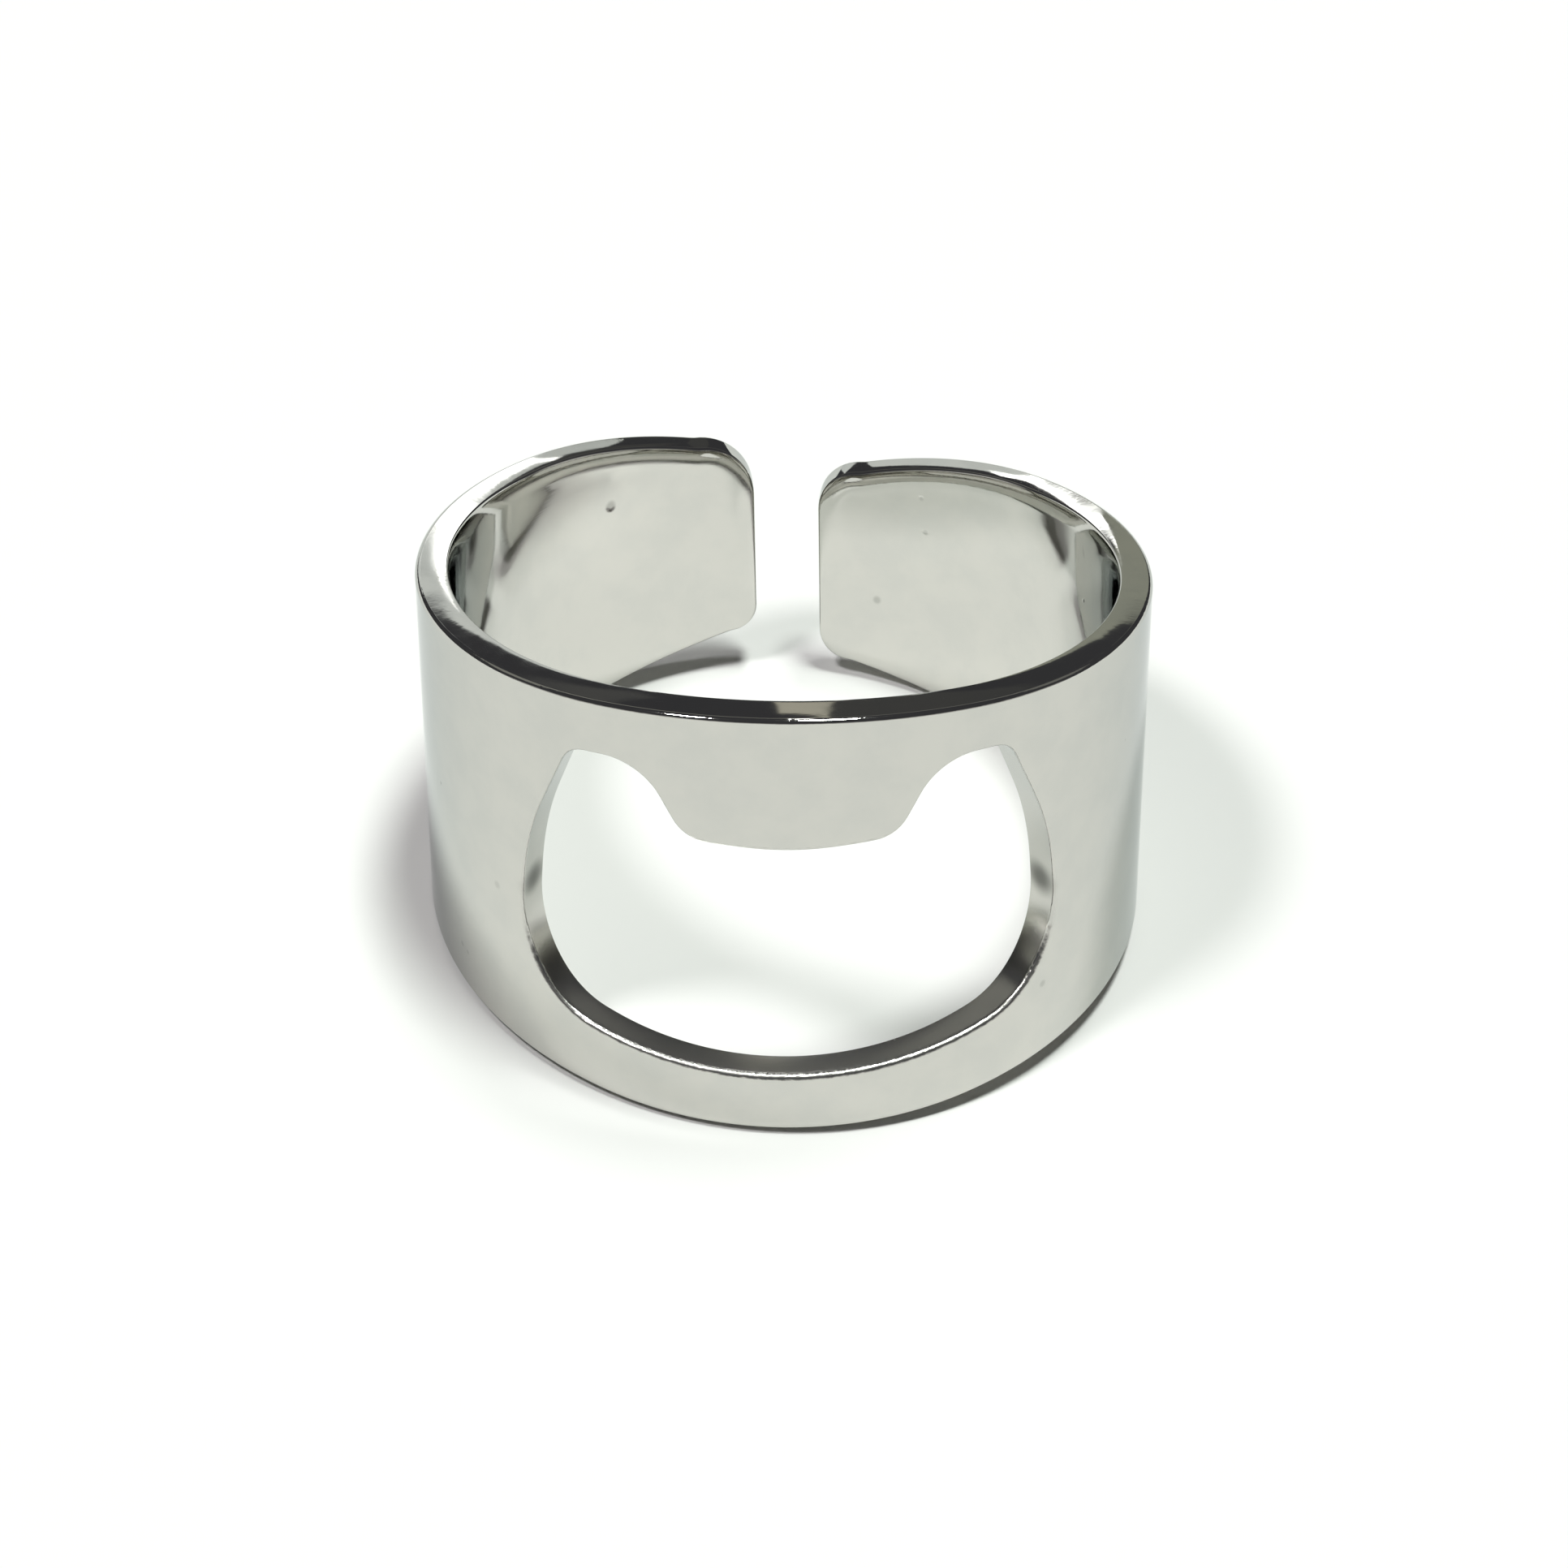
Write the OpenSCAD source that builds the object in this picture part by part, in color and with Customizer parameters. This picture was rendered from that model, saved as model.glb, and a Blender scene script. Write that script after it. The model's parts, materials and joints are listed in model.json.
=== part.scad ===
// Bottle opener ring: one strip of polished steel sheet, bent round a finger.
// The strip is widest at the front, where a window with a tongue takes the edge of a crown cap,
// and tapers along both edges to two rounded free ends that leave a narrow gap at the back.
// Millimetres. The ring lies on its lower edge, front towards -Y, gap towards +Y, +Z up.

/* [Band] */
// Outside diameter of the bent band
outer_d = 24; // [24:0.1:28]
// Thickness of the sheet at the sides
wall = 1.15; // [0.9:0.05:1.6]
// How far the bore lies behind the outer face, axis to axis, which makes the front the thickest
bore_back = 0.15; // [0:0.01:0.3]
// Height of the band at the middle of the front
front_h = 15.6; // [14.5:0.1:18]
// Slope of both edges towards the free ends, in degrees
taper = 6; // [4:0.25:7]
// Radius that rounds both edges at the middle of the front
crest_r = 57; // [40:1:80]
// How far out of square the strip is bent, in degrees, which leaves the left end higher
skew = 0.83; // [0:0.01:1.5]

/* [Free ends] */
// Left arm, from the middle of the front along the outer face
left_arm = 36.7; // [34:0.1:37]
// Right arm, measured the same way
right_arm = 36.3; // [34:0.1:37]
// Distance from the front at which both edges begin to curve in
nose_start = 27.8; // [24:0.1:30]
// Radius of that curve
nose_r = 47; // [35:1:90]
// Upper corner of the left end
left_top_r = 2.1; // [0.6:0.1:2.4]
// Lower corner of the left end
left_low_r = 1; // [0.6:0.1:2.4]
// Upper corner of the right end
right_top_r = 1.6; // [0.6:0.1:2.4]
// Lower corner of the right end
right_low_r = 1.2; // [0.6:0.1:2.4]

/* [Opener window] */
// How far the window's middle lies to the right of the band's
window_right = 0.1; // [0:0.05:0.2]
// Depth of the window's lowest point under mid height, before its wide curve rounds it
sill_drop = 6.35; // [6.2:0.05:6.4]
// Radius of the window's sill
sill_r = 28; // [24:1:28]
// Half width of the window, measured at its unrounded lower corners
low_half_w = 9.8; // [9.7:0.05:9.9]
// Height of those lower corners, from mid height
low_z = -4.15; // [-4.2:0.05:-4.1]
// Radius of the lower corners
low_r = 3.6; // [3:0.1:3.6]
// Half width at the bulge of the window's sides, above those corners
side_half_w = 9.15; // [9:0.05:9.2]
// Height of the bulge, from mid height
side_z = 1.5; // [1.4:0.05:1.7]
// Radius of the bulge
side_r = 11; // [8:0.5:11]
// Half distance between the outer corners of the two ears
ear_out_w = 7.25; // [7.1:0.05:7.4]
// Half distance between their inner corners
ear_in_w = 4.75; // [4.6:0.05:4.8]
// Height of the ears' outer corners, from mid height
ear_out_z = 5.55; // [5.4:0.05:5.6]
// Height of their inner corners
ear_in_z = 5.8; // [5.6:0.05:5.9]
// Radius of the outer corners
ear_out_r = 1; // [0.6:0.1:1.3]
// Radius of the inner corners
ear_in_r = 2; // [1.4:0.1:2.1]
// Half width of the tongue's tip
tip_half_w = 3.35; // [3.2:0.05:3.4]
// Height of the tip's corners, from mid height
tip_z = 3.23; // [3.1:0.01:3.4]
// How much lower the middle of the tip is
tip_bow = 0.23; // [0.1:0.01:0.25]
// Radius of the tip's corners
tip_corner_r = 1.3; // [0.8:0.1:1.4]
// Radius of the tip's bow
tip_bow_r = 18; // [12:1:18]
// How much wider the window is at the bore than at the outer face, as a share
flare = 0.03; // [0:0.005:0.05]
// How far the punch leant: the window at the bore lies this much further left, and this much lower
punch_lean = 0.1; // [0:0.02:0.2]

/* [Rest] */
// Backward lean of the band's axis as it rests on its lower edge, in degrees
lean_back = 7.77; // [6:0.01:9]
// Sideways lean towards the left, from the skew
lean_side = 2.23; // [0:0.01:3]

/* [Hidden] */
outer_r = outer_d / 2;
inner_r = outer_r - wall;
// Steps along the strip, round an end's corner and round a corner of the window
strip_steps = 60;
end_steps = 5;
arc_steps = 7;
// What the cutting solids reach past the band's faces
clear = 1;
window_clear = 0.4;
// Longest straight step along the window's outline
outline_step = 1.2;
round_steps = 180;

// Half height of the flat strip at a distance from its middle: a crest arc, a straight taper, a nose arc
crest_end = crest_r * sin(taper);
crest_drop = crest_r * (1 - cos(taper));
nose_top = front_h / 2 - crest_drop - tan(taper) * (nose_start - crest_end);
nose_centre = [nose_start - nose_r * sin(taper), nose_top - nose_r * cos(taper)];
function crest_height(d) = front_h / 2 - crest_r + sqrt(crest_r * crest_r - d * d);
function taper_height(d) = front_h / 2 - crest_drop - tan(taper) * (d - crest_end);
function nose_height(d) = nose_centre[1] + sqrt(nose_r * nose_r - pow(d - nose_centre[0], 2));
function half_height(s) =
    let (d = abs(s))
    d < crest_end ? crest_height(d) : d < nose_start ? taper_height(d) : nose_height(d);

// A free end's corner, from its start on the edge to the end's straight side
function end_corner(arm, r) = [
    for (i = [1 : end_steps])
        let (a = 90 * i / end_steps)
        [arm - r + r * sin(a), half_height(arm - r) - r + r * cos(a)]
];

// One edge of the flat strip as points [along, up], left end to right end, drawn as an upper edge
function edge(left_r, right_r) =
    let (
        first = -left_arm + left_r,
        last = right_arm - right_r,
        left = end_corner(left_arm, left_r),
        right = end_corner(right_arm, right_r)
    )
    concat(
        [for (i = [end_steps - 1 : -1 : 0]) [-left[i][0], left[i][1]]],
        [for (i = [0 : strip_steps])
            let (s = first + (last - first) * i / strip_steps)
            [s, half_height(s)]],
        right
    );

// The strip's edges are turned by the skew before it is bent. The window stands square to the bend.
function skewed(p) = [p[0] * cos(skew) + p[1] * sin(skew), p[1] * cos(skew) - p[0] * sin(skew)];
upper_edge = [for (p = edge(left_top_r, right_top_r)) skewed(p)];
lower_edge = [for (p = edge(left_low_r, right_low_r)) skewed([p[0], -p[1]])];

// The turn that a distance along makes, and a flat point [along, up] bent to the radius r
function turn(s) = s / outer_r * 180 / PI;
function bent(p, r) = [r * sin(turn(p[0])), -r * cos(turn(p[0])), p[1]];

// Distance from the outer face's axis to the bore at a turn
function bore_reach(a) = sqrt(inner_r * inner_r - pow(bore_back * sin(a), 2)) - bore_back * cos(a);

// Corners of the window's right half, from the sill's middle up to the tongue's middle
along = 0;
up = 1;
radius = 2;
sill = [0, -sill_drop, sill_r];
tip_middle = [0, tip_z - tip_bow, tip_bow_r];
right_corners = [
    [low_half_w, low_z, low_r],
    [side_half_w, side_z, side_r],
    [ear_out_w, ear_out_z, ear_out_r],
    [ear_in_w, ear_in_z, ear_in_r],
    [tip_half_w, tip_z, tip_corner_r]
];
left_corners = [for (i = [len(right_corners) - 1 : -1 : 0])
    let (c = right_corners[i]) [-c[along], c[up], c[radius]]];
window_corners = concat([sill], right_corners, [tip_middle], left_corners);

// The points of corner i, rounded to its radius between its two neighbours
function unit(v) = v / norm(v);
function flat(c) = [c[along], c[up]];
function rounded_corner(corners, i) =
    let (
        n = len(corners),
        at = flat(corners[i]),
        back = unit(flat(corners[(i + n - 1) % n]) - at),
        on = unit(flat(corners[(i + 1) % n]) - at),
        half_angle = acos(back * on) / 2,
        centre = at + unit(back + on) * corners[i][radius] / sin(half_angle),
        from = at + back * corners[i][radius] / tan(half_angle) - centre,
        side = sign(back[0] * on[1] - back[1] * on[0]),
        sweep = (180 - 2 * half_angle) * side
    )
    [for (k = [0 : arc_steps])
        let (a = -sweep * k / arc_steps)
        centre + [from[0] * cos(a) - from[1] * sin(a), from[0] * sin(a) + from[1] * cos(a)]];
rounded = [
    for (i = [0 : len(window_corners) - 1])
        for (p = rounded_corner(window_corners, i))
            p + [window_right, 0]
];

// The same outline with its long straight sides in shorter steps, so that they bend with the sheet
window_outline = [
    for (i = [0 : len(rounded) - 1])
        let (
            from = rounded[i],
            span = rounded[(i + 1) % len(rounded)] - from,
            n = ceil(norm(span) / outline_step)
        )
        each [for (k = [0 : n - 1]) from + span * k / n]
];

// The rest pose, worked out from the edges: the lowest point is at zero and the box is centred
function leaned(p) =
    let (
        y = p[1] * cos(lean_back) + p[2] * sin(lean_back),
        z = p[2] * cos(lean_back) - p[1] * sin(lean_back)
    )
    [p[0] * cos(lean_side) - z * sin(lean_side), y, p[0] * sin(lean_side) + z * cos(lean_side)];
rim_points = [
    for (p = concat(upper_edge, lower_edge))
        each [leaned(bent(p, outer_r)), leaned(bent(p, bore_reach(turn(p[0]))))]
];
low_corner = [for (k = [0 : 2]) min([for (p = rim_points) p[k]])];
high_corner = [for (k = [0 : 2]) max([for (p = rim_points) p[k]])];
stand = [-(low_corner[0] + high_corner[0]) / 2, -(low_corner[1] + high_corner[1]) / 2, -low_corner[2]];

module tube() {
    height = 2 * front_h;
    difference() {
        cylinder(h = height, r = outer_r, center = true, $fn = round_steps);
        translate([0, bore_back, 0])
            cylinder(h = height + 2 * clear, r = inner_r, center = true, $fn = round_steps);
    }
}

// A fan of radial blades between the two edges, which trims the tube to the bent strip
module strip_trim() {
    n = len(upper_edge);
    points = [
        for (i = [0 : n - 1])
            each [
                bent(upper_edge[i], inner_r - clear),
                bent(upper_edge[i], outer_r + clear),
                bent(lower_edge[i], outer_r + clear),
                bent(lower_edge[i], inner_r - clear)
            ]
    ];
    sides = [
        for (i = [0 : n - 2])
            for (k = [0 : 3])
                let (a = 4 * i + k, b = 4 * i + (k + 1) % 4)
                each [[a, b + 4, b], [a, a + 4, b + 4]]
    ];
    last = 4 * (n - 1);
    ends = [[0, 1, 2], [0, 2, 3], [last + 2, last + 1, last], [last + 3, last + 2, last]];
    polyhedron(points = points, faces = concat(sides, ends));
}

// The window's outline at the radius r: its sides are nearly square to the bent sheet
function flared(r) =
    let (depth = (outer_r - r) / (outer_r - inner_r))
    [
        for (p = window_outline)
            bent([p[0] * (1 + flare * depth) - punch_lean * depth, p[1] - punch_lean * depth], r)
    ];

// The window's cutter runs through the sheet between two bent outlines, and closes to a point at
// either side of it: on the axis, and out in front.
module window_cutter() {
    n = len(window_outline);
    middle = tip_z - sill_drop;
    points = concat(
        flared(inner_r - window_clear),
        flared(outer_r + window_clear),
        [[0, 0, middle], [0, -2 * outer_r, middle]]
    );
    faces = [
        for (i = [0 : n - 1])
            let (next = (i + 1) % n)
            each [
                [i, next, 2 * n],
                [next, i, n + i],
                [next, n + i, n + next],
                [n + next, n + i, 2 * n + 1]
            ]
    ];
    polyhedron(points = points, faces = faces);
}

module opener_ring() {
    color("silver")
        translate(stand)
            rotate([-lean_back, -lean_side, 0])
                difference() {
                    intersection() {
                        tube();
                        strip_trim();
                    }
                    window_cutter();
                }
}

opener_ring();
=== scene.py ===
import json
import math

import bpy
import numpy as np
from mathutils import Matrix, Vector
from mathutils.geometry import delaunay_2d_cdt


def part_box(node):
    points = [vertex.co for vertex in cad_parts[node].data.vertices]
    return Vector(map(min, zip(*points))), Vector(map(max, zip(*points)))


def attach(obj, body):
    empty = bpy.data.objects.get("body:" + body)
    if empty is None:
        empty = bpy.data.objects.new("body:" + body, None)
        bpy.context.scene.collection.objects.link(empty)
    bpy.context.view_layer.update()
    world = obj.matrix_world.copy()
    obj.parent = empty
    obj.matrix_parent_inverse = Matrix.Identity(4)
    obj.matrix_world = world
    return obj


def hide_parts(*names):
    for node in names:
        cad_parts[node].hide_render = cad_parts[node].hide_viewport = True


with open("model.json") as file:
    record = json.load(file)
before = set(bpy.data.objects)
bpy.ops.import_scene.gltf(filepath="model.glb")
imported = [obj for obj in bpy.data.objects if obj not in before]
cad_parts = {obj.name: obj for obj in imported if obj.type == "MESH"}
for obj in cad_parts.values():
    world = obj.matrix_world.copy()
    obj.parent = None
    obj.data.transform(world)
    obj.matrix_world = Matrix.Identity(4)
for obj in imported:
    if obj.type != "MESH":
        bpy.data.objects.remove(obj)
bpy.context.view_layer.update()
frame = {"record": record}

# Lengths of the ring are in millimetres and become metres where a mesh is made
MM = 0.001
bore = frame["record"]["mounts"][0]

# The band. The bore's radius, the height at the front and the lean of the axis are the record's. The bore's
# axis lies a little behind the outer face's.
OUTER_R = 12.0
BORE_R = bore["dims"]["r_mm"]
BORE_BACK = 0.15
FRONT_H = bore["dims"]["length_mm"]
LEAN_BACK = math.asin(bore["axis"][1])
LEAN_SIDE = math.atan2(-bore["axis"][0], bore["axis"][2])
# Both edges taper from a round crest at the front, and the strip is turned by the skew before it is bent
TAPER = math.radians(6)
CREST_R = 57.0
SKEW = math.radians(0.83)

# The free ends: the length of each arm, where its edges begin to curve in and at what radius, and its
# corners' radii
LEFT_ARM, RIGHT_ARM = 36.7, 36.3
NOSE_START, NOSE_R = 27.8, 47.0
LEFT_TOP_R, LEFT_LOW_R = 2.1, 1.0
RIGHT_TOP_R, RIGHT_LOW_R = 1.6, 1.2

# The window's right half as (along, up, radius), from the sill's middle up to the tongue's middle
SILL = (0.0, -6.35, 28.0)
RIGHT_CORNERS = [
    (9.8, -4.15, 3.6),
    (9.15, 1.5, 11.0),
    (7.25, 5.55, 1.0),
    (4.75, 5.8, 2.0),
    (3.35, 3.23, 1.3),
]
TIP_MIDDLE = (0.0, 3.0, 18.0)
# How far the window stands to the right, how much wider it is at the bore, as a share, and how far left
# and down it lies there
WINDOW_RIGHT = 0.1
FLARE = 0.03
PUNCH_LEAN = 0.1

# The rounding of the strip's outer rim, and of the window's: wider below the first height, at the sill, than
# above the second, at the tongue
STRIP_FILLET = 0.17
FILLET_HEIGHTS, WINDOW_FILLETS = (-3.5, 2.0), (0.26, 0.11)
# The bore's edges are eased: how deep that starts on the cut edge, and how far it reaches over the bore's
# face, for the strip's rim and for the window's
STRIP_EASE, WINDOW_EASE = (0.15, 0.7), (0.07, 0.25)
# How far the cut edges fall away towards the bore, by the third power of the depth
CROWN = 0.015
# Two turns of the shading alone: of the free ends' inner face, down towards its upper rim, by the square of
# the height, and of the window's cut wall, outward
BORE_LEAN = 0.0028
PUNCH_TURN = 0.05
# How worn the strip's outer rim is, as a share of the window's
STRIP_WORN = 0.2

# How many steps the rounding, the cut edge's wall and the easing are made in
FILLET_STEPS, WALL_STEPS, EASE_STEPS = 6, 8, 9
# How many points draw a free end's corner, an edge of the strip and a corner of the window, before they are
# spaced evenly at the outline's step
END_CORNER_POINTS, EDGE_POINTS, WINDOW_CORNER_POINTS = 24, 400, 40
OUTLINE_STEP = 0.2
# A line's direction at a point is measured between the points this many steps before and after it
DIRECTION_STEPS = 2
# The grid of points inside a flat face: their distance, and the least distance from a rim, as a share of it
FACE_STEP = 0.42
RIM_GAP = 0.6
# Triangles of less than this doubled area are left out, and points nearer than this are one
SLIVER = 2e-4
SAME_POINT = 1e-7
# delaunay_2d_cdt's kind of result: triangles that fill the points' convex hull
CONVEX_HULL = 0


# Half height of the flat strip at a distance from its middle: a crest arc, a straight taper, a nose arc
def half_height(along):
    d = np.abs(along)
    crest_end = CREST_R * math.sin(TAPER)
    crest_foot = FRONT_H / 2 - CREST_R * (1 - math.cos(TAPER))
    crest = FRONT_H / 2 - CREST_R + np.sqrt(np.maximum(CREST_R**2 - d**2, 0))
    straight = crest_foot - math.tan(TAPER) * (d - crest_end)
    nose_top = crest_foot - math.tan(TAPER) * (NOSE_START - crest_end)
    centre = (NOSE_START - NOSE_R * math.sin(TAPER), nose_top - NOSE_R * math.cos(TAPER))
    nose = centre[1] + np.sqrt(np.maximum(NOSE_R**2 - (d - centre[0]) ** 2, 0))
    return np.where(d < crest_end, crest, np.where(d < NOSE_START, straight, nose))


def unit(v):
    return v / np.linalg.norm(v, axis=-1, keepdims=True)


# Which way a closed line runs at each of its points
def direction(line):
    return unit(np.roll(line, -DIRECTION_STEPS, axis=0) - np.roll(line, DIRECTION_STEPS, axis=0))


# Points at equal steps along a closed outline
def evenly(points, step):
    closed = np.vstack([points, points[:1]])
    length = np.concatenate([[0], np.cumsum(np.linalg.norm(np.diff(closed, axis=0), axis=1))])
    count = round(length[-1] / step)
    at = np.arange(count) * length[-1] / count
    return np.column_stack([np.interp(at, length, closed[:, k]) for k in range(2)])


def skewed(points):
    c, s = math.cos(SKEW), math.sin(SKEW)
    return np.column_stack([points[:, 0] * c + points[:, 1] * s, points[:, 1] * c - points[:, 0] * s])


# One edge of the strip from the left end's side to the right end's, drawn as an upper edge
def strip_edge(left_r, right_r):
    quarter = np.linspace(0, math.pi / 2, END_CORNER_POINTS)
    along = np.linspace(left_r - LEFT_ARM, RIGHT_ARM - right_r, EDGE_POINTS)
    left = np.column_stack([
        along[0] - left_r * np.sin(quarter),
        half_height(along[0]) - left_r * (1 - np.cos(quarter)),
    ])
    right = np.column_stack([
        along[-1] + right_r * np.sin(quarter),
        half_height(along[-1]) - right_r * (1 - np.cos(quarter)),
    ])
    return np.vstack([left[::-1], np.column_stack([along, half_height(along)]), right])


# The flat strip's outline, anticlockwise seen from the outer face
def strip_outline():
    upper = strip_edge(LEFT_TOP_R, RIGHT_TOP_R)
    lower = strip_edge(LEFT_LOW_R, RIGHT_LOW_R) * (1, -1)
    return evenly(skewed(np.vstack([lower, upper[::-1]])), OUTLINE_STEP)


# An arc of the given radius that rounds a corner between its two neighbours
def rounded_corner(before, corner, after):
    at, radius = np.array(corner[:2]), corner[2]
    back, on = unit(np.array(before[:2]) - at), unit(np.array(after[:2]) - at)
    half_angle = math.acos(back @ on) / 2
    centre = at + unit(back + on) * radius / math.sin(half_angle)
    start = at + back * radius / math.tan(half_angle) - centre
    side = np.sign(back[0] * on[1] - back[1] * on[0])
    turn = -side * np.linspace(0, math.pi - 2 * half_angle, WINDOW_CORNER_POINTS)
    return centre + np.column_stack([
        start[0] * np.cos(turn) - start[1] * np.sin(turn),
        start[0] * np.sin(turn) + start[1] * np.cos(turn),
    ])


# The window's outline, clockwise seen from the outer face: the metal lies on its left, as the strip's does
def window_outline():
    left_corners = [(-along, up, radius) for along, up, radius in RIGHT_CORNERS[::-1]]
    corners = [SILL, *RIGHT_CORNERS, TIP_MIDDLE, *left_corners]
    count = len(corners)
    arcs = [rounded_corner(corners[i - 1], corners[i], corners[(i + 1) % count]) for i in range(count)]
    return evenly(np.vstack(arcs)[::-1] + (WINDOW_RIGHT, 0), OUTLINE_STEP)


# Distance from the outer face's axis to the bore's wall at an angle from the front
def bore_reach(angle):
    return np.sqrt(BORE_R**2 - (BORE_BACK * np.sin(angle)) ** 2) - BORE_BACK * np.cos(angle)


# Points of the flat strip, bent round the axis at a radius
def bent(flat, radius):
    angle = flat[:, 0] / OUTER_R
    return np.column_stack([radius * np.sin(angle), -radius * np.cos(angle), flat[:, 1]])


# The way out from the axis at points of the flat strip
def outward(flat):
    return bent(flat * (1, 0), 1.0)


# The bore's wall faces its own axis, and a little down near the free ends' upper rim
def bore_facing(places):
    back = np.clip(places[:, 1] / BORE_R, 0, 1)
    lean = BORE_LEAN * back * np.maximum(places[:, 2], 0) ** 2
    facing = unit((0, BORE_BACK, 0) - places * (1, 1, 0))
    return unit(facing - lean[:, None] * (0, 0, 1))


# An outline as it is cut at a radius, under the outer face
def cut_at(flat, radius, flare, lean):
    depth = (OUTER_R - radius) / (OUTER_R - BORE_R)
    return np.column_stack([flat[:, 0] * (1 + flare * depth) - lean * depth, flat[:, 1] - lean * depth])


# The rows of points round an outline, from the outer face's rim over the cut edge to the bore's rim. A row
# holds the points' places on the flat strip, their bent places and their normals.
def rim_rows(outline, flare, lean, fillet, ease, turn):
    sunk, reached = ease
    tangent = direction(outline)
    void = np.column_stack([tangent[:, 1], -tangent[:, 0]])
    reach = bore_reach(outline[:, 0] / OUTER_R)
    radial = outward(outline)
    outer_line = bent(outline, OUTER_R)
    inner_line = bent(cut_at(outline, reach, flare, lean), reach)
    through = unit(inner_line - outer_line)
    cut_normal = unit(unit(np.cross(through, direction(outer_line))) + turn * radial)
    bore_normal = bore_facing(inner_line)
    thick = OUTER_R - reach
    rows = []

    def add(inset, depth, normal):
        radius = np.full(len(outline), OUTER_R) - depth
        stretch = np.column_stack([OUTER_R / radius, np.ones(len(outline))])
        flat = cut_at(outline, radius, flare, lean) - void * stretch * np.reshape(inset, (-1, 1))
        rows.append((flat, bent(flat, radius), normal))

    for a in np.linspace(0, math.pi / 2, FILLET_STEPS + 1):
        blend = math.cos(a) * radial + math.sin(a) * cut_normal
        add(fillet * (1 - math.sin(a)), fillet * (1 - math.cos(a)), unit(blend))
    # The wall's normals follow the slope of its third power, and the easing starts at about the slope that
    # the wall ends with
    wall = thick - fillet - sunk
    for k in range(1, WALL_STEPS):
        share = k / WALL_STEPS
        tilt = 3 * CROWN * share**2 / wall[:, None]
        add(CROWN * share**3, fillet + wall * share, unit(cut_normal + tilt * bore_normal))
    for a in np.linspace(3 * CROWN / wall.min() * sunk / reached, math.pi / 2, EASE_STEPS + 1):
        blend = sunk * math.cos(a) * cut_normal + reached * math.sin(a) * bore_normal
        add(CROWN + reached * (1 - math.cos(a)), thick - sunk * (1 - math.sin(a)), unit(blend))
    return rows


# Which points lie inside a closed outline: those that it passes an odd number of times on one side
def inside(points, outline):
    x, y = points[:, :1], points[:, 1:]
    x0, y0 = outline[:, 0], outline[:, 1]
    x1, y1 = np.roll(x0, -1), np.roll(y0, -1)
    crosses = ((y0 > y) != (y1 > y)) & (x < x0 + (y - y0) * (x1 - x0) / np.where(y1 == y0, 1, y1 - y0))
    return crosses.sum(axis=1) % 2 == 1


# A grid of points on a flat face between the strip's rim and the window's, and the triangles that fill the
# face. They count the strip's points first, then the window's and the grid's.
def filled(strip, window):
    rims = np.vstack([strip, window])
    low, high = strip.min(axis=0), strip.max(axis=0)
    row_step = FACE_STEP * math.sqrt(3) / 2
    grid = np.array([
        (x + (row % 2) * FACE_STEP / 2, y)
        for row, y in enumerate(np.arange(low[1], high[1], row_step))
        for x in np.arange(low[0], high[0], FACE_STEP)
    ])
    grid = grid[inside(grid, strip) & ~inside(grid, window)]
    gap = np.array([np.min(np.hypot(*(rims - p).T)) for p in grid])
    grid = grid[gap > FACE_STEP * RIM_GAP]
    points = np.vstack([rims, grid])
    n, m = len(strip), len(window)
    borders = [(i, (i + 1) % n) for i in range(n)] + [(n + i, n + (i + 1) % m) for i in range(m)]
    made = delaunay_2d_cdt([Vector(p) for p in points], borders, [], CONVEX_HULL, SAME_POINT)
    triangles = np.array(made[2])
    corners = points[triangles]
    one, two = corners[:, 1] - corners[:, 0], corners[:, 2] - corners[:, 0]
    twice_area = one[:, 0] * two[:, 1] - one[:, 1] * two[:, 0]
    middles = corners.mean(axis=1)
    kept = (twice_area > SLIVER) & inside(middles, strip) & ~inside(middles, window)
    return grid, triangles[kept]


# The band's own axis leans back and to the left as it rests on its lower edge
def leaned(vectors):
    cb, sb, cs, ss = math.cos(LEAN_BACK), math.sin(LEAN_BACK), math.cos(LEAN_SIDE), math.sin(LEAN_SIDE)
    x, y, z = vectors.T
    up = z * cb - y * sb
    return np.column_stack([x * cs - up * ss, y * cb + z * sb, x * ss + up * cs])


# An object of the given data, in the scene
def placed(name, data):
    made = bpy.data.objects.new(name, data)
    bpy.context.scene.collection.objects.link(made)
    return made


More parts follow.
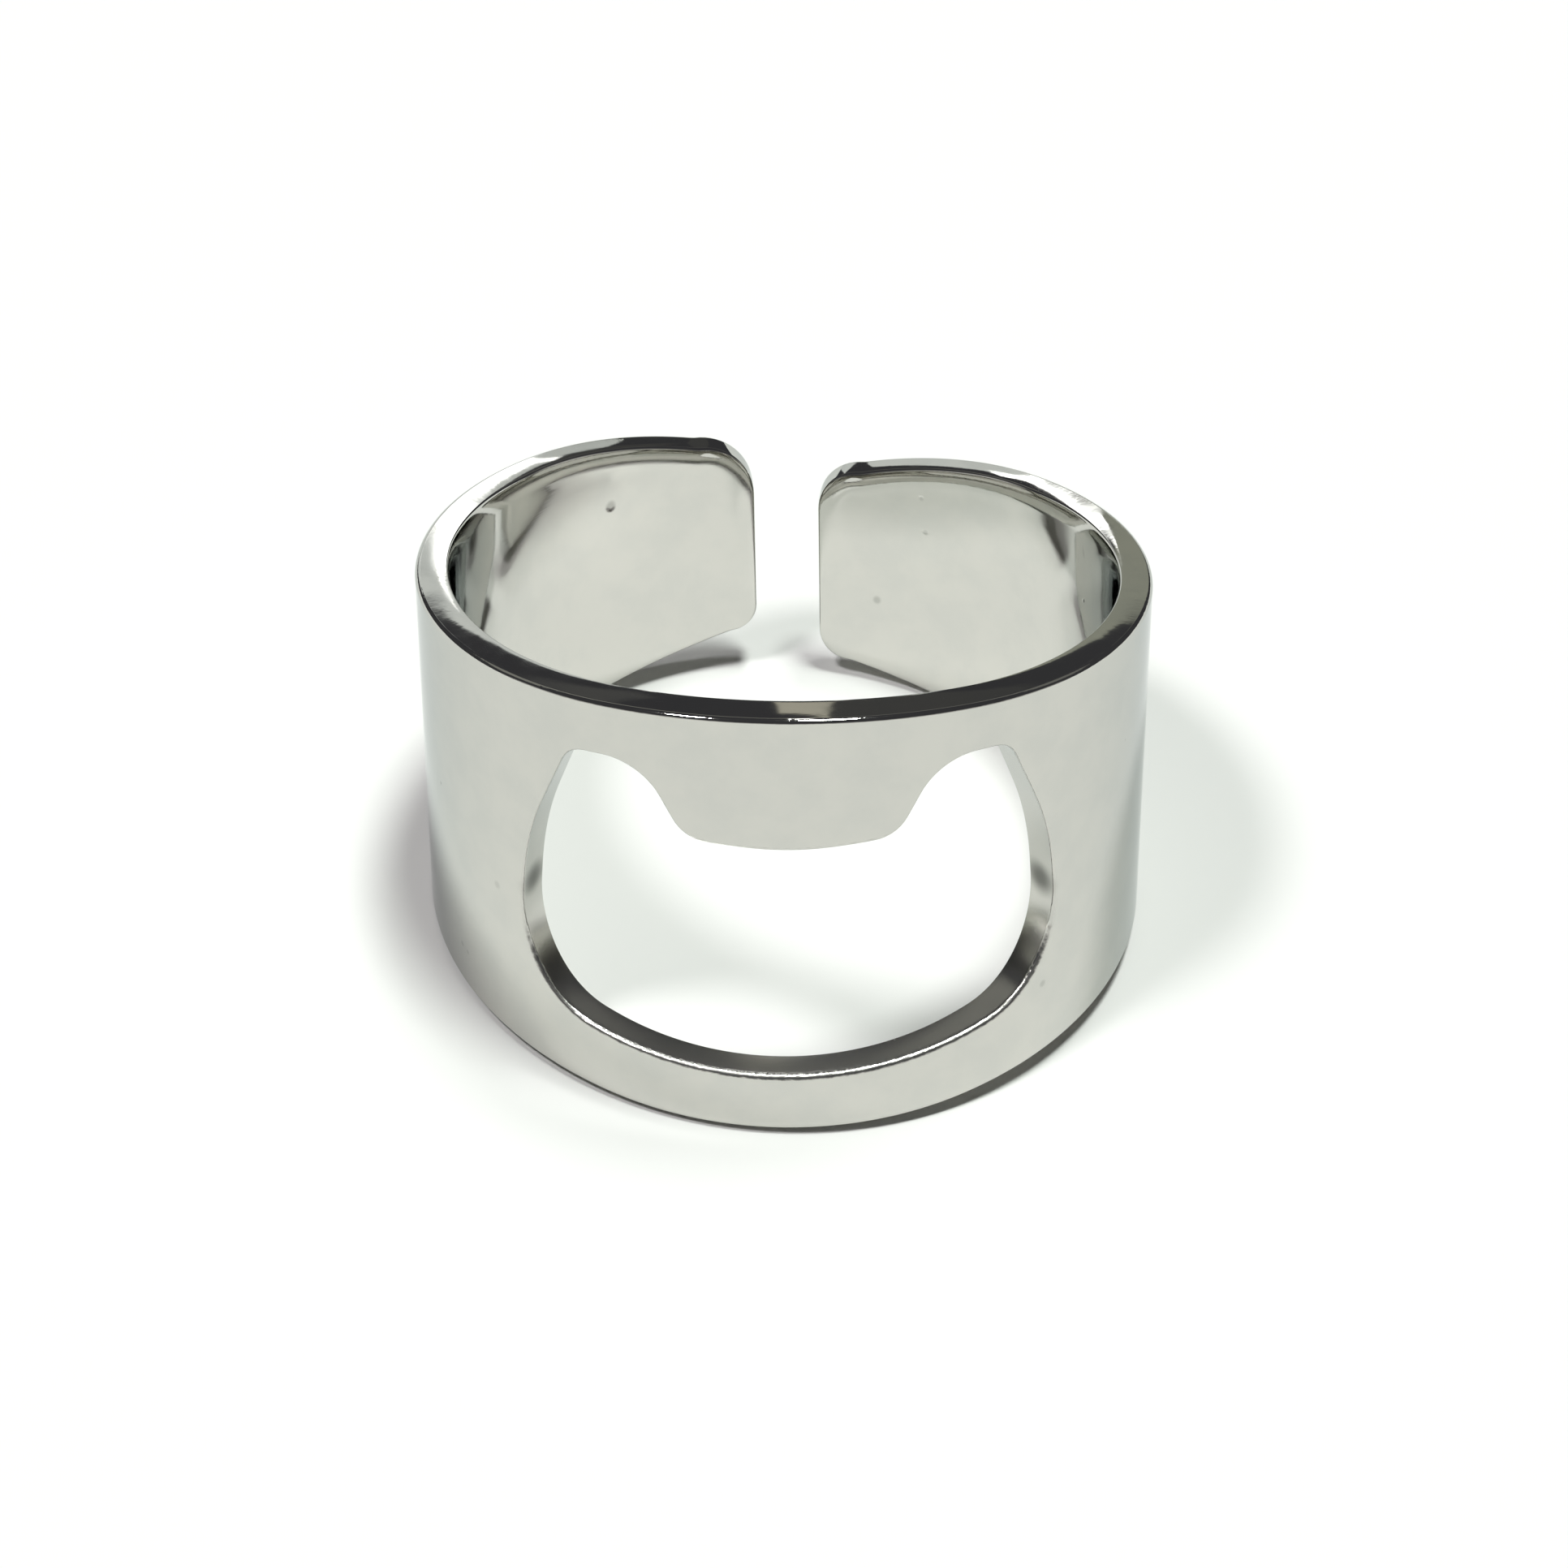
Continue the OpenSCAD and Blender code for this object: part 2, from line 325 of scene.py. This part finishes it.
def opener_ring():
    strip_rows = rim_rows(strip_outline(), 0, 0, STRIP_FILLET, STRIP_EASE, 0)
    window = window_outline()
    fillets = np.interp(window[:, 1], FILLET_HEIGHTS, WINDOW_FILLETS)
    window_rows = rim_rows(window, FLARE, PUNCH_LEAN, fillets, WINDOW_EASE, PUNCH_TURN)
    n, m = len(strip_rows[0][0]), len(window_rows[0][0])
    rows = len(strip_rows)
    flats, places, normals, faces = [], [], [], []

    # The cut edges: every row holds the strip's points, then the window's
    ring = n + m
    for strip_row, window_row in zip(strip_rows, window_rows):
        for (flat, place, normal) in (strip_row, window_row):
            flats.append(flat)
            places.append(place)
            normals.append(normal)
    for k in range(rows - 1):
        for first, count in ((0, n), (n, m)):
            for i in range(count):
                a, b = k * ring + first + i, k * ring + first + (i + 1) % count
                faces.append((a, a + ring, b + ring, b))

    # The outer face
    grid, triangles = filled(strip_rows[0][0], window_rows[0][0])
    first = rows * ring
    flats.append(grid)
    places.append(bent(grid, OUTER_R))
    normals.append(outward(grid))
    faces += [tuple(v if v < ring else v - ring + first for v in t) for t in triangles.tolist()]

    # The bore's face, turned the other way
    first += len(grid)
    grid, triangles = filled(strip_rows[-1][0], window_rows[-1][0])
    wall = bent(grid, bore_reach(grid[:, 0] / OUTER_R))
    flats.append(grid)
    places.append(wall)
    normals.append(bore_facing(wall))
    last_row = (rows - 1) * ring
    faces += [
        tuple(v + last_row if v < ring else v - ring + first for v in t[::-1]) for t in triangles.tolist()
    ]

    # The rest pose: the foot and the middle of the CAD node's box
    upright = np.vstack(places)
    points = leaned(upright) * MM
    low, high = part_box("opener_ring")
    middle = (points.min(axis=0) + points.max(axis=0)) / 2
    points += ((low.x + high.x) / 2 - middle[0], (low.y + high.y) / 2 - middle[1], low.z - points[:, 2].min())

    mesh = bpy.data.meshes.new("ring_band")
    mesh.from_pydata(points.tolist(), [], faces)
    mesh.validate()
    mesh.polygons.foreach_set("use_smooth", [True] * len(mesh.polygons))
    mesh.normals_split_custom_set_from_vertices(leaned(np.vstack(normals)).tolist())

    # Where each point lies on the flat strip and under its outer face, in millimetres
    depth = OUTER_R - np.hypot(upright[:, 0], upright[:, 1])
    strip = np.column_stack([np.vstack(flats), depth])
    mesh.attributes.new("strip", "FLOAT_VECTOR", "POINT").data.foreach_set("vector", strip.ravel())

    # How much each point's edge is worn, most at the middle of the rounding, and how far the point is on the
    # window's punched wall
    rounding, easing = np.linspace(0, 1, FILLET_STEPS + 1), np.linspace(0, 1, EASE_STEPS + 1)
    worn = np.append(np.sin(math.pi * rounding), np.zeros(WALL_STEPS + EASE_STEPS))
    punched = np.concatenate([rounding, np.ones(WALL_STEPS - 1), 1 - easing])
    for name, shares, on_strip in (("worn", worn, STRIP_WORN), ("punched", punched, 0)):
        values = np.zeros(len(points))
        values[:rows * ring] = np.concatenate([np.repeat((on_strip * s, s), (n, m)) for s in shares])
        mesh.attributes.new(name, "FLOAT", "POINT").data.foreach_set("value", values)
    return placed("ring_band", mesh)


band = opener_ring()
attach(band, "root")
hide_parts("opener_ring")


# Nodes are made by type, with their settings by name and their inputs by name or number
def node(tree, kind, inputs=None, **settings):
    made = tree.nodes.new(kind)
    for name, value in settings.items():
        setattr(made, name, value)
    for name, value in (inputs or {}).items():
        if isinstance(value, bpy.types.NodeSocket):
            tree.links.new(value, made.inputs[name])
        else:
            made.inputs[name].default_value = value
    return made


def math_node(tree, operation, *values):
    return node(tree, "ShaderNodeMath", dict(enumerate(values)), operation=operation).outputs[0]


# A soft step from one value to another, where the input passes from low to high
def ramp(tree, value, low, high, to_low=0.0, to_high=1.0):
    inputs = {"Value": value, "From Min": low, "From Max": high, "To Min": to_low, "To Max": to_high}
    return node(tree, "ShaderNodeMapRange", inputs, interpolation_type="SMOOTHSTEP").outputs[0]


# The Mix node's colour sockets share their names with those of its other types, so they go by number
MIX_SHARE, MIX_ONE, MIX_TWO, MIX_RESULT = 0, 6, 7, 2


def mixed(tree, share, one, two):
    inputs = {MIX_SHARE: share, MIX_ONE: one, MIX_TWO: two}
    return node(tree, "ShaderNodeMix", inputs, data_type="RGBA").outputs[MIX_RESULT]


# Polished steel: its colour, where it is clouded, where it is pitted or marked and where shade is painted,
# and its tint as a mirror at a grazing angle
STEEL_COLOUR = (0.605, 0.597, 0.56, 1)
STEEL_CLOUDED = (0.575, 0.572, 0.54, 1)
STEEL_PITTED_AND_SHADED = (0.12, 0.12, 0.11, 1)
STEEL_EDGE = (0.72, 0.745, 0.755, 1)
# How rough the polish is at its smoothest and where it is clouded, and at least on the window's punched wall
# and where an edge is most worn
SMOOTH, CLOUDED, PUNCHED, WORN = 0.03, 0.06, 0.2, 0.3
# Heights of the polish's waves, its hairlines, the worn edges' dents and the marks, in millimetres
WAVES, HAIRLINES, DENTS, MARK_DEPTH = 0.008, 0.0008, 0.03, 0.02
# Scale, detail and roughness of each noise, and the value that they all lie about
CLOUD_NOISE = (0.55, 4, 0.6)
HAIR_NOISE = (1.2, 3, 0.7)
WAVE_NOISE = (0.33, 1, 0.5)
DENT_NOISE = (3.5, 2, 0.5)
NOISE_MIDDLE = 0.5
# Where in their noise the clouds begin and are full, and how the hairlines' noise is stretched along, up and
# through the strip
CLOUD_RANGE = (0.35, 0.68)
HAIR_STRETCH = (0.35, 9, 1)
# The pits: cells to the millimetre, the random values from which a cell has one, its radius where it is
# full and where it ends, as shares of a cell, and how dark it is
PIT_CELLS = 0.42
PIT_CHOSEN = (0.6, 0.62)
PIT_RADII = (0.012, 0.04)
PIT_DARK = 0.5
# Marks, and two patches of painted shade, as (along, up, depth under the outer face, radius, how dark),
# placed by the photograph. They are full up to a share of the radius.
MARKS_AND_SHADE = [
    (-30.83, 3.04, 1.02, 0.28, 0.4),
    (33.96, -1.59, 1.01, 0.22, 0.32),
    (32.0, 1.6, 1.01, 0.14, 0.2),
    (32.2, 2.9, 1.01, 0.14, 0.2),
    (-10.6, -1.2, 0, 0.2, 0.18),
    (9.1, -4.45, 0, 0.18, 0.25),
    (-13.1, -5.0, 0, 0.14, 0.25),
    (-12.7, -5.1, 0, 0.12, 0.22),
    # The last two are painted shade: a wide, darker patch on each of the window's cut side walls
    (-9.2, -0.7, 0.75, 0.9, 0.85),
    (9.35, -0.9, 0.75, 0.9, 0.85),
]
MARK_FULL = 0.3


def polished_steel():
    material = bpy.data.materials.new("polished_steel")
    material.use_nodes = True
    tree = material.node_tree
    strip = node(tree, "ShaderNodeAttribute", attribute_name="strip").outputs["Vector"]
    worn = node(tree, "ShaderNodeAttribute", attribute_name="worn").outputs["Fac"]
    punched = node(tree, "ShaderNodeAttribute", attribute_name="punched").outputs["Fac"]

    def strip_with(operation, vector):
        return node(tree, "ShaderNodeVectorMath", {0: strip, 1: vector}, operation=operation).outputs

    def noise(at, scale, detail, roughness):
        inputs = {"Vector": at, "Scale": scale, "Detail": detail, "Roughness": roughness}
        return node(tree, "ShaderNodeTexNoise", inputs).outputs["Fac"]

    # Faint clouds of the buffing, hairlines along the strip, and a few pin-prick pits
    clouds = ramp(tree, noise(strip, *CLOUD_NOISE), *CLOUD_RANGE)
    hairs = noise(strip_with("MULTIPLY", HAIR_STRETCH)["Vector"], *HAIR_NOISE)
    cells = node(tree, "ShaderNodeTexVoronoi", {"Vector": strip, "Scale": PIT_CELLS}).outputs
    cell_value = node(tree, "ShaderNodeSeparateColor", {"Color": cells["Color"]}).outputs["Red"]
    pits = ramp(tree, cells["Distance"], *PIT_RADII, PIT_DARK, 0.0)
    pits = math_node(tree, "MULTIPLY", pits, ramp(tree, cell_value, *PIT_CHOSEN))

    # One mask of the pits, the marks and the patches of painted shade, which darkens the steel's colour
    marks_and_shade = pits
    for along, up, depth, radius, dark in MARKS_AND_SHADE:
        away = strip_with("DISTANCE", (along, up, depth))["Value"]
        dark_spot = ramp(tree, away, radius * MARK_FULL, radius, dark, 0.0)
        marks_and_shade = math_node(tree, "MAXIMUM", marks_and_shade, dark_spot)

    colour = mixed(tree, clouds, STEEL_COLOUR, STEEL_CLOUDED)
    colour = mixed(tree, marks_and_shade, colour, STEEL_PITTED_AND_SHADED)
    haze = math_node(tree, "ADD", clouds, math_node(tree, "SUBTRACT", hairs, NOISE_MIDDLE))
    roughness = ramp(tree, haze, 0, 1, SMOOTH, CLOUDED)
    roughness = math_node(tree, "MAXIMUM", roughness, math_node(tree, "MULTIPLY", punched, PUNCHED))
    roughness = math_node(tree, "MAXIMUM", roughness, math_node(tree, "MULTIPLY", worn, WORN))

    waves = math_node(tree, "MULTIPLY", noise(strip, *WAVE_NOISE), WAVES)
    hairlines = math_node(tree, "MULTIPLY", hairs, HAIRLINES)
    dents = math_node(tree, "MULTIPLY", noise(strip, *DENT_NOISE), worn)
    dents = math_node(tree, "MULTIPLY", dents, DENTS)
    height = math_node(tree, "ADD", waves, hairlines)
    height = math_node(tree, "ADD", height, dents)
    height = math_node(tree, "MULTIPLY_ADD", marks_and_shade, -MARK_DEPTH, height)
    bump = node(tree, "ShaderNodeBump", {"Strength": 1.0, "Distance": MM, "Height": height})

    surface = tree.nodes["Principled BSDF"]
    surface.inputs["Metallic"].default_value = 1
    surface.inputs["Specular Tint"].default_value = STEEL_EDGE
    tree.links.new(colour, surface.inputs["Base Color"])
    tree.links.new(roughness, surface.inputs["Roughness"])
    tree.links.new(bump.outputs["Normal"], surface.inputs["Normal"])
    return material


band.data.materials.append(polished_steel())

# The floor: a plain white sheet far wider than the view, in metres
FLOOR_HALF = 1.5
FLOOR_COLOUR = (0.9, 0.9, 0.89, 1)
FLOOR_ROUGHNESS = 0.9


def floor():
    mesh = bpy.data.meshes.new("floor")
    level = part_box("opener_ring")[0].z
    corners = [(x * FLOOR_HALF, y * FLOOR_HALF, level) for x, y in ((-1, -1), (1, -1), (1, 1), (-1, 1))]
    mesh.from_pydata(corners, [], [(0, 1, 2, 3)])
    sheet = placed("floor", mesh)
    material = bpy.data.materials.new("floor")
    material.use_nodes = True
    surface = material.node_tree.nodes["Principled BSDF"]
    surface.inputs["Base Color"].default_value = FLOOR_COLOUR
    surface.inputs["Roughness"].default_value = FLOOR_ROUGHNESS
    surface.inputs["Specular IOR Level"].default_value = 0.0
    mesh.materials.append(material)


floor()

# The lamps: azimuth, clockwise from +Y seen from above, and elevation in degrees, the share of the floor's
# brightness that each gives, its colour, and how wide it looks from the ring, in degrees
LAMPS = dict(
    key=(72, 82.5, 0.56, (0.94, 1.0, 0.94), 12),
    rear=(28, 74.5, 0.15, (1.0, 1.0, 1.0), 9),
    fill=(-114, 63, 0.305, (1.0, 0.98, 0.99), 10),
)


def lamp(name, azimuth, elevation, share, colour, width):
    data = bpy.data.lights.new(name, "SUN")
    a, e = math.radians(azimuth), math.radians(elevation)
    data.energy = share * math.pi / (FLOOR_COLOUR[1] * math.sin(e))
    data.color, data.angle = colour, math.radians(width)
    towards = Vector((math.sin(a) * math.cos(e), math.cos(a) * math.cos(e), math.sin(e)))
    placed(name, data).rotation_euler = towards.to_track_quat("Z", "Y").to_euler()


for name, settings in LAMPS.items():
    lamp(name, *settings)

# The room that the steel mirrors, as patches of light, the later ones over the earlier: azimuth from and to,
# clockwise from +Y seen from above, elevation from and to, all in degrees, how much the elevations rise for
# each degree to the right, the width of the soft edge, and the colour
ROOM_DARK = (0.05, 0.05, 0.055, 1)
ROOM = [
    (90, 180, -90, 12, 0, 20, (0.75, 0.75, 0.72, 1)),
    (-180, -90, -90, 12, 0, 20, (0.75, 0.75, 0.72, 1)),
    (-20, -0.5, -10, 13.1, 0, 0.3, (0.84, 0.87, 0.85, 1)),
    (-0.5, 12, -10, 10.6, 0, 0.4, (0.36, 0.37, 0.31, 1)),
    (-1.2, 5.4, 11.3, 17.3, 0, 0.5, (0.7, 0.73, 0.71, 1)),
    (-4.3, 2.8, 14.0, 15.2, 0.7, 0.3, (3, 3, 3, 1)),
    (-5.2, -2.3, 0, 12.2, 0, 0.2, (0.8, 0.83, 0.81, 1)),
    (-4.4, -0.5, 11.65, 13.2, -0.3, 0.2, (3, 3, 3, 1)),
    (-0.7, 1.7, 11.6, 12.3, -0.75, 0.2, (3, 3, 3, 1)),
    (-9, -5.7, 16.6, 19.6, 0, 1, (0.09, 0.09, 0.09, 1)),
    (2.5, 10, 15, 26, 0, 1, (0.07, 0.07, 0.07, 1)),
    (-0.2, 2.4, 19.3, 24.6, 0, 0.3, (0.52, 0.5, 0.42, 1)),
    (0.2, 2.6, 34, 70, 0, 0.2, (3, 3, 3, 1)),
    (-60, 0, 28, 40, 0, 3, (0.26, 0.26, 0.24, 1)),
    (2.8, 60, 28, 40, 0, 3, (0.18, 0.18, 0.17, 1)),
]
# What all other rays meet, and what the camera sees past the floor
AMBIENT = (0.03, 0.03, 0.03, 1)
BACKDROP = (1.2, 1.2, 1.2, 1)


def room():
    world = bpy.data.worlds.new("room")
    world.use_nodes = True
    bpy.context.scene.world = world
    tree = world.node_tree
    towards = node(tree, "ShaderNodeTexCoord").outputs["Generated"]
    x, y, z = node(tree, "ShaderNodeSeparateXYZ", {"Vector": towards}).outputs
    azimuth = math_node(tree, "DEGREES", math_node(tree, "ARCTAN2", x, y))
    elevation = math_node(tree, "DEGREES", math_node(tree, "ARCSINE", z))

    def within(value, low, high, soft):
        rise = ramp(tree, value, low - soft / 2, low + soft / 2)
        fall = ramp(tree, value, high + soft / 2, high - soft / 2)
        return math_node(tree, "MULTIPLY", rise, fall)

    colour = ROOM_DARK
    for az0, az1, el0, el1, slope, soft, light in ROOM:
        level = math_node(tree, "MULTIPLY_ADD", azimuth, -slope, elevation)
        share = math_node(tree, "MULTIPLY", within(azimuth, az0, az1, soft), within(level, el0, el1, soft))
        colour = mixed(tree, share, colour, light)

    # Only mirror rays see the patches, and only if they haven't come by way of the floor
    path = node(tree, "ShaderNodeLightPath").outputs
    bounced_off_floor = math_node(tree, "GREATER_THAN", path["Diffuse Depth"], 0.0)
    mirrored = math_node(tree, "SUBTRACT", path["Is Glossy Ray"], bounced_off_floor)
    mirrored = math_node(tree, "MAXIMUM", mirrored, 0.0)
    seen = mixed(tree, mirrored, AMBIENT, colour)
    seen = mixed(tree, path["Is Camera Ray"], seen, BACKDROP)
    tree.links.new(seen, tree.nodes["Background"].inputs["Color"])


room()

# The camera, from the photograph: it looks at a point of the ring from an azimuth, elevation and distance,
# with lengths in millimetres and angles in degrees
AIM = (-0.007, -1.98, 5.593)
AZIMUTH, ELEVATION, ROLL = -2.4285, 41.3633, 2.9518
DISTANCE = 146.725
LENS, SENSOR_WIDTH = 101.865, 36
CLIP_START = 10


def camera():
    data = bpy.data.cameras.new("camera")
    data.sensor_width, data.lens = SENSOR_WIDTH, LENS
    data.clip_start = CLIP_START * MM
    a, e = math.radians(AZIMUTH), math.radians(ELEVATION)
    back = Vector((math.sin(a) * math.cos(e), -math.cos(a) * math.cos(e), math.sin(e)))
    turn = back.to_track_quat("Z", "Y").to_matrix() @ Matrix.Rotation(math.radians(ROLL), 3, "Z")
    made = placed("camera", data)
    made.matrix_world = Matrix.Translation((Vector(AIM) + back * DISTANCE) * MM) @ turn.to_4x4()
    bpy.context.scene.camera = made


camera()
bpy.context.scene.view_settings.view_transform = "Standard"
